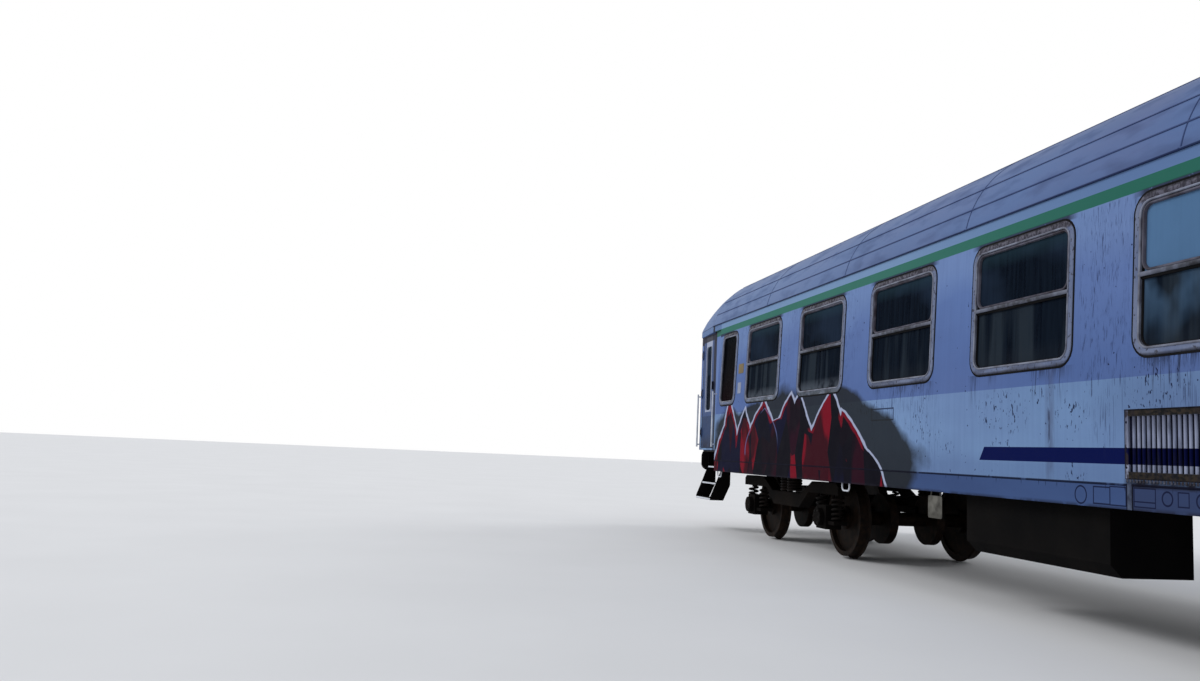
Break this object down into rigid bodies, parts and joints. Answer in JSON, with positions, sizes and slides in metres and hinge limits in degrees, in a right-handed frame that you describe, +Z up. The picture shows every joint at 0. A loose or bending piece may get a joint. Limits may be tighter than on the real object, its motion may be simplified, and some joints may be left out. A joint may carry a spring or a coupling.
{
  "type": "passenger railway coach with side corridor on two bogies",
  "caption": "Side-corridor railway passenger coach with ten large windows a side, recessed end doors, rubber gangways, buffers and two four-wheel bogies.",
  "frame": {"origin": "centre of the coach in plan, on the floor under the wheel flanges", "axes": "+X along the coach towards the end the picture shows, +Y towards the corridor side, +Z up"},
  "size_m": [24.5, 2.8352, 4.0809],
  "materials": {
    "body_paint": "semi-gloss lavender and pale blue enamel, dusty and streaked",
    "end_paint": "dark blue-violet enamel, dusty",
    "roof_paint": "matt grey-lavender roof paint",
    "floor_steel": "dark floor covering",
    "frame_steel": "matt black underframe paint, dirty",
    "window_metal": "dull weathered aluminium",
    "window_glass": "dusty tinted glass",
    "grille_paint": "lavender paint with rust at its frame",
    "inner_panel": "laminated inner panel",
    "inner_ceiling": "pale ceiling paint",
    "seat_cover": "worn red-brown seat cloth",
    "rack_metal": "satin",
    "buffer_steel": "greasy black",
    "step_steel": "dark steel with white edges",
    "rail_paint": "white enamel",
    "lamp_glass": "cream lamp glass in a dark ring",
    "under_paint": "matt dark grey",
    "gangway_paint": "orange-red enamel, dented",
    "gangway_glass": "frosted cream pane",
    "rubber": "black rubber",
    "spring_steel": "dark spring steel",
    "bogie_steel": "matt black, dusty",
    "wheel_steel": "bare steel tread, rusty web"
  },
  "bodies": {
    "root": {"air_grille": "grille_paint", "air_reservoirs": "under_paint", "buffers": "buffer_steel", "ceiling": "inner_ceiling", "corridor_wall": "inner_panel", "cross_partitions": "inner_panel", "draw_gear": "frame_steel", "end_lamps": "lamp_glass", "end_wall_a": "end_paint", "end_wall_b": "end_paint", "entry_steps": "step_steel", "equipment_boxes": "under_paint", "floor": "floor_steel", "gangway_tubes_a": "rubber", "gangway_tubes_b": "rubber", "handrails": "rail_paint", "luggage_racks": "rack_metal", "roof": "roof_paint", "seats": "seat_cover", "side_wall_left": "body_paint", "side_wall_right": "body_paint", "underframe": "frame_steel", "vestibule_partitions": "inner_panel", "window_frames_left": "window_metal", "window_frames_right": "window_metal", "window_glass_left": "window_glass", "window_glass_right": "window_glass"},
    "bogie_a": {"bogie_axle_boxes_a": "bogie_steel", "bogie_bolster_a": "bogie_steel", "bogie_brakes_a": "bogie_steel", "bogie_frame_a": "bogie_steel", "bogie_springs_a": "spring_steel"},
    "bogie_b": {"bogie_axle_boxes_b": "bogie_steel", "bogie_bolster_b": "bogie_steel", "bogie_brakes_b": "bogie_steel", "bogie_frame_b": "bogie_steel", "bogie_springs_b": "spring_steel"},
    "bridge_plate_a": {"bridge_plate_a": "frame_steel"},
    "bridge_plate_b": {"bridge_plate_b": "frame_steel"},
    "gangway_door_a_left": {"gangway_door_a_left": "gangway_paint", "gangway_glass_a_left": "gangway_glass"},
    "gangway_door_a_right": {"gangway_door_a_right": "gangway_paint", "gangway_glass_a_right": "gangway_glass"},
    "gangway_door_b_left": {"gangway_door_b_left": "gangway_paint", "gangway_glass_b_left": "gangway_glass"},
    "gangway_door_b_right": {"gangway_door_b_right": "gangway_paint", "gangway_glass_b_right": "gangway_glass"},
    "side_door_a_left": {"side_door_a_left": "body_paint", "side_door_glass_a_left": "window_glass"},
    "side_door_a_right": {"side_door_a_right": "body_paint", "side_door_glass_a_right": "window_glass"},
    "side_door_b_left": {"side_door_b_left": "body_paint", "side_door_glass_b_left": "window_glass"},
    "side_door_b_right": {"side_door_b_right": "body_paint", "side_door_glass_b_right": "window_glass"},
    "wheelset_a1": {"wheelset_a1": "wheel_steel"},
    "wheelset_a2": {"wheelset_a2": "wheel_steel"},
    "wheelset_b1": {"wheelset_b1": "wheel_steel"},
    "wheelset_b2": {"wheelset_b2": "wheel_steel"}
  },
  "joints": [
    {"name": "bogie_a_turn", "type": "hinge", "parent": "root", "child": "bogie_a", "pos_m": [8.6, 0, 1], "axis": [0, 0, 1], "range_deg": [-4, 4]},
    {"name": "wheelset_a1_roll", "type": "hinge", "parent": "bogie_a", "child": "wheelset_a1", "pos_m": [9.85, 0, 0.488], "axis": [0, 1, 0], "continuous": true},
    {"name": "wheelset_a2_roll", "type": "hinge", "parent": "bogie_a", "child": "wheelset_a2", "pos_m": [7.35, 0, 0.488], "axis": [0, 1, 0], "continuous": true},
    {"name": "bridge_plate_a_fold", "type": "hinge", "parent": "root", "child": "bridge_plate_a", "pos_m": [12.132, 0, 1.3], "axis": [0, 1, 0], "range_deg": [0, 90]},
    {"name": "side_door_a_left_swing", "type": "hinge", "parent": "root", "child": "side_door_a_left", "pos_m": [11.98476, 1.28228, 2.2], "axis": [0, 0, -1], "range_deg": [0, 100]},
    {"name": "gangway_door_a_left_slide", "type": "slide", "parent": "root", "child": "gangway_door_a_left", "axis": [0, 1, 0], "range_m": [0, 0.45]},
    {"name": "side_door_a_right_swing", "type": "hinge", "parent": "root", "child": "side_door_a_right", "pos_m": [11.98476, -1.28228, 2.2], "axis": [0, 0, 1], "range_deg": [0, 100]},
    {"name": "gangway_door_a_right_slide", "type": "slide", "parent": "root", "child": "gangway_door_a_right", "axis": [0, -1, 0], "range_m": [0, 0.45]},
    {"name": "bogie_b_turn", "type": "hinge", "parent": "root", "child": "bogie_b", "pos_m": [-8.6, 0, 1], "axis": [0, 0, 1], "range_deg": [-4, 4]},
    {"name": "wheelset_b1_roll", "type": "hinge", "parent": "bogie_b", "child": "wheelset_b1", "pos_m": [-9.85, 0, 0.488], "axis": [0, 1, 0], "continuous": true},
    {"name": "wheelset_b2_roll", "type": "hinge", "parent": "bogie_b", "child": "wheelset_b2", "pos_m": [-7.35, 0, 0.488], "axis": [0, 1, 0], "continuous": true},
    {"name": "bridge_plate_b_fold", "type": "hinge", "parent": "root", "child": "bridge_plate_b", "pos_m": [-12.132, 0, 1.3], "axis": [0, -1, 0], "range_deg": [0, 90]},
    {"name": "side_door_b_left_swing", "type": "hinge", "parent": "root", "child": "side_door_b_left", "pos_m": [-11.98476, 1.28228, 2.2], "axis": [0, 0, 1], "range_deg": [0, 100]},
    {"name": "gangway_door_b_left_slide", "type": "slide", "parent": "root", "child": "gangway_door_b_left", "axis": [0, 1, 0], "range_m": [0, 0.45]},
    {"name": "side_door_b_right_swing", "type": "hinge", "parent": "root", "child": "side_door_b_right", "pos_m": [-11.98476, -1.28228, 2.2], "axis": [0, 0, -1], "range_deg": [0, 100]},
    {"name": "gangway_door_b_right_slide", "type": "slide", "parent": "root", "child": "gangway_door_b_right", "axis": [0, -1, 0], "range_m": [0, 0.45]}
  ]
}
